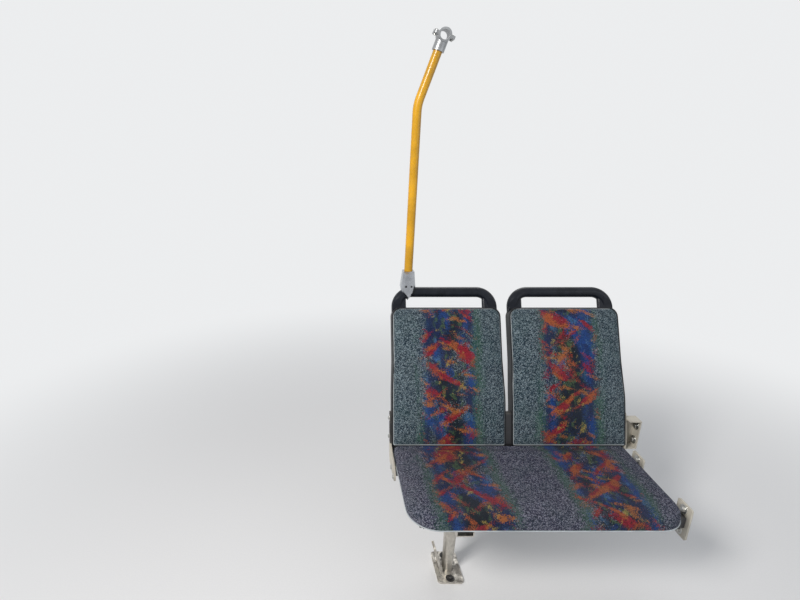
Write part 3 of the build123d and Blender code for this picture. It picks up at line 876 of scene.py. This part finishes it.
def make_cushion(crown, wrinkle):
    """The double cushion: two sat-in places, a rolled front and a tuck under the backs."""
    low, high = corners("cushion_pad")
    piece = copy_mesh("seat_cushion", NODES["cushion_pad"])

    def clear_of_backs(point):
        """1 in front of the backs, 0 under them."""
        return smooth_step(high.y - point.y, 0.02, 0.06)

    def reach_inside(point):
        """How far a point lies in from the front and side edges."""
        return min(point.x - low.x, high.x - point.x, point.y - low.y)

    def swelling_share(point):
        """All of the swelling in front and on top, none behind or below."""
        inside = smooth_step(reach_inside(point), 0.004, 0.040)
        raised = smooth_step(point.z, low.z + 0.004, low.z + 0.020)
        return clear_of_backs(point) * inside * raised

    inflate(piece, voxel=0.005, pressure=3.0, cap=0.005, weight=swelling_share)
    for vertex in piece.data.vertices:
        point = vertex.co
        top = smooth_step(point.z, low.z + 0.016, high.z - 0.002)
        top *= clear_of_backs(point)
        crest = smooth_step(reach_inside(point), 0.0, 0.085)
        places = [math.exp(-(((point.x - x) / 0.15) ** 2)) for x in BACK_CENTRES.values()]
        dip = sum(places) * math.exp(-(((point.y - (high.y - 0.16)) / 0.12) ** 2))
        rise = crown * crest - 0.5 * crown * dip
        rise += noise.noise(Vector((point.x * 7, point.y * 8, 1.7))) * wrinkle * crest
        rise += noise.noise(Vector((point.x * 30, point.y * 24, 5.2))) * wrinkle * 0.3
        vertex.co.z += rise * top

    def across_along(point):
        """The cloth laid flat: past the top it runs on outwards by how far it drops."""
        core_x = min(max(point.x, low.x + CUSHION_CORNER), high.x - CUSHION_CORNER)
        core_y = max(point.y, low.y + CUSHION_CORNER)
        out = Vector((point.x - core_x, point.y - core_y))
        drop = max(high.z - 0.004 - point.z, 0) * 0.85
        if out.length > 0.001:
            out *= (out.length + drop) / out.length
        return core_x + out.x, core_y + out.y

    finish_pad(piece, across_along)
    dress(piece, "cushion_cloth", MATERIALS["cushion_cloth"], "cushion_pad")


def outline_piece(name, width, height, corner, low_corner):
    """A loop of edges round a rectangle with round corners, flat on the XY plane."""
    deselect()
    bpy.ops.mesh.primitive_plane_add(size=1, location=(0, 0, 0))
    piece = named(name)
    piece.scale = (width, height, 1)
    bpy.ops.object.transform_apply(location=True, rotation=True, scale=True)
    enter("EDIT")
    for top, round_by in ((True, corner), (False, low_corner)):
        bpy.ops.mesh.select_mode(type="VERT")
        bpy.ops.mesh.select_all(action="DESELECT")
        enter("OBJECT")
        edge_y = height / 2 if top else -height / 2
        for vertex in piece.data.vertices:
            vertex.select = abs(vertex.co.y - edge_y) < 1e-5
        enter("EDIT")
        bpy.ops.mesh.bevel(offset=round_by, segments=10, affect="VERTICES", profile=0.5)
    bpy.ops.mesh.select_all(action="SELECT")
    bpy.ops.mesh.delete(type="ONLY_FACE")
    bpy.ops.mesh.select_all(action="DESELECT")
    enter("OBJECT")
    for edge in piece.data.edges:
        first, last = (piece.data.vertices[index].co for index in edge.vertices)
        edge.select = (first - last).length > 0.05
    enter("EDIT")
    bpy.ops.mesh.select_mode(type="EDGE")
    bpy.ops.mesh.subdivide(number_cuts=40)
    enter("OBJECT")
    return piece


def tube_from_loop(piece, radius):
    """Turns a loop of edges into a round tube."""
    choose(piece)
    bpy.ops.object.convert(target="CURVE")
    piece.data.bevel_depth = radius
    piece.data.bevel_resolution = 3
    bpy.ops.object.convert(target="MESH")
    settle(piece)
    bpy.ops.object.shade_smooth()


def make_back_welt(side, radius):
    """Piping round the front edge of a padded back, following its waist and its bend."""
    centre = BACK_CENTRES[side]
    inset = 0.0015
    low_run = 0.004
    height = BACK_RUN - low_run - inset
    depth = 0.0085
    width = 2 * (PAD_HALF_WIDTH - inset)
    piece = outline_piece("back_welt_" + side, width, height, corner=0.0305, low_corner=0.004)
    for vertex in piece.data.vertices:
        run = low_run + vertex.co.y + height / 2
        half = pad_half_width_at(run) - inset
        across = vertex.co.x * half / (PAD_HALF_WIDTH - inset)
        y, z = back_place(run, depth)
        vertex.co = (centre + across, y, z)
    tube_from_loop(piece, radius)
    dress(piece, "back_cloth", MATERIALS["welt"])


def make_cushion_welt(radius):
    """Piping round the lower edge of the double cushion, along its front and sides."""
    low, high = corners("cushion_pad")
    middle = (low + high) / 2
    inset = 0.0012
    piece = outline_piece(
        "cushion_welt", high.x - low.x - 2 * inset, high.y - low.y - 2 * inset,
        corner=0.004, low_corner=CUSHION_CORNER - inset,
    )
    for vertex in piece.data.vertices:
        vertex.co = (middle.x + vertex.co.x, middle.y + vertex.co.y, low.z + 0.0060)
    tube_from_loop(piece, radius)
    dress(piece, "cushion_cloth", MATERIALS["welt"])


# Fasteners


def start_cylinder(name, sides, radius, height, base=0.0):
    """A cylinder on a base height, in edit mode with its top face selected."""
    deselect()
    bpy.ops.mesh.primitive_cylinder_add(
        vertices=sides, radius=radius, depth=height, location=(0, 0, base + height / 2)
    )
    piece = named(name)
    bpy.ops.object.transform_apply(location=True, rotation=True, scale=True)
    pick_faces(piece, lambda centre, normal: normal.z > 0.9)
    return piece


def step_in(thickness, lift):
    """The selected face drawn in and then lifted or sunk."""
    bpy.ops.mesh.inset(thickness=thickness)
    bpy.ops.transform.translate(value=(0, 0, lift))


def break_edges(piece, width):
    """Bevels all of a piece's sharp edges."""
    edge = piece.modifiers.new("edge", "BEVEL")
    edge.width = width
    edge.segments = 2
    finish_modifiers(piece)


def hex_bolt(name, across_flats, head, washer):
    """A hexagon bolt head with a chamfered top on a washer, looking along +Z from z 0."""
    piece = start_cylinder(name, 6, across_flats / math.sqrt(3), head, washer)
    step_in(across_flats * 0.07, head * 0.12)
    step_in(across_flats * 0.16, -head * 0.05)
    ring = start_cylinder(name + "_washer", 32, across_flats * 0.95, washer)
    bpy.ops.mesh.bevel(offset=washer * 0.35, segments=2, affect="EDGES")
    deselect()
    ring.select_set(True)
    piece.select_set(True)
    bpy.context.view_layer.objects.active = piece
    bpy.ops.object.join()
    break_edges(piece, across_flats * 0.03)
    merge_doubles(piece)
    smooth(piece, 30)
    return piece


def socket_screw(name, radius, head):
    """A domed button head with a round socket, looking along +Z from z 0."""
    piece = start_cylinder(name, 30, radius, head)
    step_in(radius * 0.22, head * 0.22)
    step_in(radius * 0.33, head * 0.03)
    step_in(radius * 0.04, -head * 0.75)
    enter("OBJECT")
    break_edges(piece, radius * 0.06)
    smooth(piece, 35)
    return piece


def arm_bolt_places():
    """Where the arms are bolted to the shells and the beams, as (place, direction) pairs."""
    x, y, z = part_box("back_arm_aisle")[0]
    window_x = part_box("back_arm_window")[1][0]
    places = [((x, *back_place(run, ARM_BOLT_DEPTH)), (-1, 0, 0)) for run in ARM_BOLT_RUNS]
    places.append(((window_x, *back_place(*WINDOW_ARM_BOLT)), (1, 0, 0)))
    for reach in FLANGE_BOLT_REACHES:
        places.append(((x, y + reach, z + FLANGE_BOLT_RISE), (-1, 0, 0)))
    return places


def wall_bolt_places():
    """The bolts through the wall plates, their heads on the seat's side."""
    places = []
    for end in ("front", "rear", "back"):
        node = "wall_bracket_" + end
        x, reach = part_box(node)[0][0], WALL_BOLT_REACH
        if end == "back":
            x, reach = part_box(node)[1][0] - CHANNEL_WALL, CHANNEL_BOLT_REACH
        centre = box_centre(node)
        places += [((x, centre.y, centre.z + way * reach), (-1, 0, 0)) for way in (-1, 1)]
    return places


def pad_screw_places(side):
    """Four screws in the recess at the rear of a shell, which hold its pad."""
    places = []
    for run in PAD_SCREW_RUNS:
        y, z = back_place(run, SHELL_DEPTH - RECESS_DEPTH)
        lean = lean_at(run)
        for way in (-1, 1):
            place = (BACK_CENTRES[side] + way * PAD_SCREW_REACH, y, z)
            places.append((place, (0, math.cos(lean), -math.sin(lean))))
    return places


def make_fasteners():
    """Bolts, nuts and screws, each modelled once and copied."""
    zinc, black = MATERIALS["zinc"], MATERIALS["black_screw"]
    foot = hex_bolt("foot_bolt", 0.017, 0.0075, 0.0020)
    places = [((0, way * FOOT_BOLT_REACH, FOOT_PLATE), (0, 0, 1)) for way in (-1, 1)]
    spread(foot, places, "leg_steel", black)
    arm = hex_bolt("arm_bolt", 0.013, 0.0042, 0.0010)
    spread(arm, arm_bolt_places(), "bracket_paint", zinc)
    wall = hex_bolt("wall_bolt", 0.017, 0.0070, 0.0020)
    spread(wall, wall_bolt_places(), "bracket_paint", zinc)

    shoe_x = box_centre("pole_shoe_front").x
    front_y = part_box("pole_shoe_front")[0][1] - SCREW_GAP
    rear_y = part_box("pole_shoe_rear")[1][1] + SCREW_GAP
    screw_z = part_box("pole_shoe_front")[0][2] + SHOE_POINT_DROP + SHOE_SCREW_RISE
    places = []
    for way in (-1, 1):
        x = shoe_x + way * SHOE_SCREW_REACH
        places.append(((x, front_y, screw_z), (0, -1, 0)))
        places.append(((x, rear_y, screw_z), (0, 1, 0)))
    spread(socket_screw("shoe_screw", 0.0040, 0.0016), places, "shoe_metal", black)

    across = Vector((math.cos(POLE_LEAN), 0, -math.sin(POLE_LEAN)))
    along = Vector((math.sin(POLE_LEAN), 0, math.cos(POLE_LEAN)))
    ears = [RAIL_CENTRE + across * way * CLAMP_SCREW_REACH for way in (-1, 1)]
    places = [(ear - along * CLAMP_EAR, -along) for ear in ears]
    spread(socket_screw("clamp_screw", 0.0052, 0.0042), places, "clamp_metal", zinc)
    places = [(ear + along * CLAMP_EAR, along) for ear in ears]
    spread(hex_bolt("clamp_nut", 0.0100, 0.0045, 0.0012), places, "clamp_metal", zinc)

    for side in SIDES:
        screw = socket_screw("pad_screw_" + side, 0.0065, 0.0030)
        spread(screw, pad_screw_places(side), "shell_plastic", black)


# Stage


LAMP_TARGET = (0.2, 0.0, 0.7)
# Each lamp's name, place, size, power, colour and the angle that its light spreads over
LAMPS = (
    ("key_light", (-2.6, -2.3, 3.3), 1.1, 62, (1.0, 0.97, 0.94), 110),
    ("fill_light", (2.8, -1.8, 2.0), 2.4, 16, (0.92, 0.96, 1.0), 180),
    ("rim_light", (0.8, 3.0, 3.4), 2.0, 30, (1.0, 1.0, 1.0), 180),
)
SKY_STRENGTH = 0.36
CAMERA_PLACE = (-0.481, -1.586, 1.603)


def seen_directly(tree):
    """1 for the rays that show the plain background: camera, glossy and transmission."""
    paths = add_node(tree, "LightPath").outputs
    seen = maths("MAXIMUM", paths["Is Camera Ray"], paths["Is Glossy Ray"])
    return maths("MAXIMUM", seen, paths["Is Transmission Ray"])


def make_floor(colour):
    """A wide pale floor that keeps the shadow and fades into the background."""
    deselect()
    bpy.ops.mesh.primitive_circle_add(vertices=96, radius=14, fill_type="NGON", location=(0, 0, 0))
    floor = named("stage_floor")
    material, shader, place = new_material("Pale floor")
    tree = material.node_tree
    distance = add_node(
        tree, "VectorMath", {0: mapped(place, shift=(-0.2, 0, 0))}, operation="LENGTH"
    ).outputs["Value"]
    far = ramp_value(distance, 1.1, 3.2)
    speckle = noise_value(place, 180.0, 4.0, 0.6)
    shade = blend_colour(ramp_value(speckle, 0.3, 0.7), shaded(colour, 0.97), colour)
    feed_all(shader.inputs, Base_Color=shade, Roughness=0.7)
    glow = add_node(tree, "Emission", {"Color": (*BACKGROUND, 1), "Strength": 1.0})
    mix = add_node(
        tree, "MixShader",
        {0: times(far, seen_directly(tree)), 1: shader.outputs[0], 2: glow.outputs[0]},
    )
    feed(tree.nodes["Material Output"].inputs["Surface"], mix.outputs[0])
    floor.data.materials.append(material)


def make_world():
    """A plain grey sky that lights the object and shows as a pale background."""
    world = bpy.data.worlds.new("Studio")
    bpy.context.scene.world = world
    world.use_nodes = True
    tree = world.node_tree
    light = tree.nodes["Background"]
    feed_all(light.inputs, Color=(0.92, 0.95, 1.0, 1), Strength=SKY_STRENGTH)
    shown = add_node(tree, "Background", {"Color": (*BACKGROUND, 1), "Strength": 1.0})
    mix = add_node(
        tree, "MixShader", {0: seen_directly(tree), 1: light.outputs[0], 2: shown.outputs[0]}
    )
    feed(tree.nodes["World Output"].inputs["Surface"], mix.outputs[0])


def add_softbox(name, place, size, power, colour, spread_angle):
    """A square area lamp that looks at the seat."""
    deselect()
    bpy.ops.object.light_add(type="AREA", location=place)
    lamp = bpy.context.object
    lamp.name = name
    lamp.data.shape = "SQUARE"
    lamp.data.size = size
    lamp.data.energy = power
    lamp.data.spread = math.radians(spread_angle)
    lamp.data.color = colour
    aim = Vector(LAMP_TARGET) - Vector(place)
    lamp.rotation_euler = aim.to_track_quat("-Z", "Y").to_euler()


def add_camera(pitch, focal, shift):
    """The camera at the photograph's place and angle."""
    deselect()
    bpy.ops.object.camera_add(location=CAMERA_PLACE, rotation=(math.radians(90) - pitch, 0, 0))
    camera = bpy.context.object
    camera.name = "photo_camera"
    camera.data.sensor_width = 36
    camera.data.lens = focal
    camera.data.shift_x = shift
    camera.data.clip_start = 0.01
    bpy.context.scene.camera = camera


# The add-on's sizes, colours, operators and panel


def number_property(name, description, default, **kind):
    """A number that a user may change, with its unit or subtype where one fits."""
    return bpy.props.FloatProperty(name=name, description=description, default=default, **kind)


def length_property(name, description, default):
    """A length that a user may change."""
    return number_property(name, description, default, unit="LENGTH")


class SeatSizes(bpy.types.PropertyGroup):
    """Sizes that a user may change."""

    back_crown: length_property("Back Crown", "How far a padded back's middle stands out", 0.007)
    cushion_crown: length_property("Cushion Crown", "How far the cushion's top rises", 0.009)
    wrinkle: length_property("Slackness", "Depth of the soft waves in the cloth", 0.0022)
    welt_radius: length_property("Piping Radius", "Radius of the piping round the pads", 0.0024)
    camera_focal: number_property("Focal Length", "Focal length in millimetres", 23.85)
    camera_pitch: number_property(
        "Camera Pitch", "How far the camera looks down", math.radians(18.5), subtype="ANGLE"
    )
    camera_shift: number_property("Camera Shift", "Sideways shift of the picture", 0.10)


def colour_property(name, description, default):
    """A colour that a user may change."""
    return bpy.props.FloatVectorProperty(
        name=name, description=description, default=default, subtype="COLOR", size=3, min=0, max=1
    )


class SeatColours(bpy.types.PropertyGroup):
    """Colours that a user may change."""

    back_dark: colour_property("Back Dark", "Dark thread of the backs", (0.011, 0.022, 0.035))
    back_mid: colour_property("Back Mid", "Main thread of the backs", (0.058, 0.094, 0.126))
    back_pale: colour_property("Back Pale", "Pale thread of the backs", (0.285, 0.360, 0.395))
    seat_dark: colour_property("Seat Dark", "Dark thread of the cushion", (0.012, 0.013, 0.036))
    seat_mid: colour_property("Seat Mid", "Main thread of the cushion", (0.062, 0.066, 0.120))
    seat_pale: colour_property("Seat Pale", "Pale thread of the cushion", (0.330, 0.335, 0.420))
    pole: colour_property("Pole", "Powder coat of the stanchion", (0.640, 0.325, 0.006))
    floor: colour_property("Floor", "The pale floor", (0.760, 0.762, 0.765))


class SEAT_OT_materials(bpy.types.Operator):
    """Makes the finishes and gives them to the solids that stay"""

    bl_idname = "twin_seat.materials"
    bl_label = "Finishes"

    def execute(self, context):
        make_materials(context.scene.seat_colours)
        for finish, names in NODE_FINISHES.items():
            for name in names:
                node = NODES[name]
                if not node.material_slots:
                    node.data.materials.append(MATERIALS[finish])
                for place in node.material_slots:
                    place.material = MATERIALS[finish]
        return {"FINISHED"}


class SEAT_OT_backs(bpy.types.Operator):
    """Pads the two backs with cloth and pipes their edges"""

    bl_idname = "twin_seat.backs"
    bl_label = "Padded Backs"

    def execute(self, context):
        sizes = context.scene.seat_sizes
        for side in SIDES:
            make_back_cover(side, sizes.back_crown, sizes.wrinkle)
            make_back_welt(side, 0.8 * sizes.welt_radius)
        return {"FINISHED"}


class SEAT_OT_cushion(bpy.types.Operator):
    """Makes the double cushion and pipes its edges"""

    bl_idname = "twin_seat.cushion"
    bl_label = "Double Cushion"

    def execute(self, context):
        sizes = context.scene.seat_sizes
        make_cushion(sizes.cushion_crown, sizes.wrinkle)
        make_cushion_welt(sizes.welt_radius)
        return {"FINISHED"}


class SEAT_OT_fasteners(bpy.types.Operator):
    """Puts bolts and screws where the seat is held together"""

    bl_idname = "twin_seat.fasteners"
    bl_label = "Fasteners"

    def execute(self, context):
        make_fasteners()
        return {"FINISHED"}


class SEAT_OT_stage(bpy.types.Operator):
    """Sets the floor, the lights and the camera"""

    bl_idname = "twin_seat.stage"
    bl_label = "Stage"

    def execute(self, context):
        sizes = context.scene.seat_sizes
        make_floor(tuple(context.scene.seat_colours.floor))
        make_world()
        for lamp in LAMPS:
            add_softbox(*lamp)
        add_camera(sizes.camera_pitch, sizes.camera_focal, sizes.camera_shift)
        return {"FINISHED"}


OPERATORS = (
    SEAT_OT_materials, SEAT_OT_backs, SEAT_OT_cushion, SEAT_OT_fasteners, SEAT_OT_stage,
)


class SEAT_PT_panel(bpy.types.Panel):
    """Lists the seat's pieces, sizes and colours"""

    bl_label = "Twin Bus Seat"
    bl_idname = "SEAT_PT_panel"
    bl_space_type = "VIEW_3D"
    bl_region_type = "UI"
    bl_category = "Twin Seat"

    def draw(self, context):
        for operator in OPERATORS:
            self.layout.operator(operator.bl_idname)
        for group in (context.scene.seat_sizes, context.scene.seat_colours):
            for key in group.__annotations__:
                self.layout.prop(group, key)


CLASSES = (SeatSizes, SeatColours, *OPERATORS, SEAT_PT_panel)


def register():
    """Registers the classes and hangs the settings on the scene."""
    for item in CLASSES:
        bpy.utils.register_class(item)
    bpy.types.Scene.seat_sizes = bpy.props.PointerProperty(type=SeatSizes)
    bpy.types.Scene.seat_colours = bpy.props.PointerProperty(type=SeatColours)


def unregister():
    """Takes all of it away again."""
    del bpy.types.Scene.seat_sizes
    del bpy.types.Scene.seat_colours
    for item in reversed(CLASSES):
        bpy.utils.unregister_class(item)


def main():
    """Makes the whole picture."""
    register()
    bpy.context.scene.view_settings.view_transform = "Standard"
    bpy.ops.twin_seat.materials()
    bpy.ops.twin_seat.backs()
    bpy.ops.twin_seat.cushion()
    bpy.ops.twin_seat.fasteners()
    bpy.ops.twin_seat.stage()
    deselect()


if __name__ == "__main__":
    main()
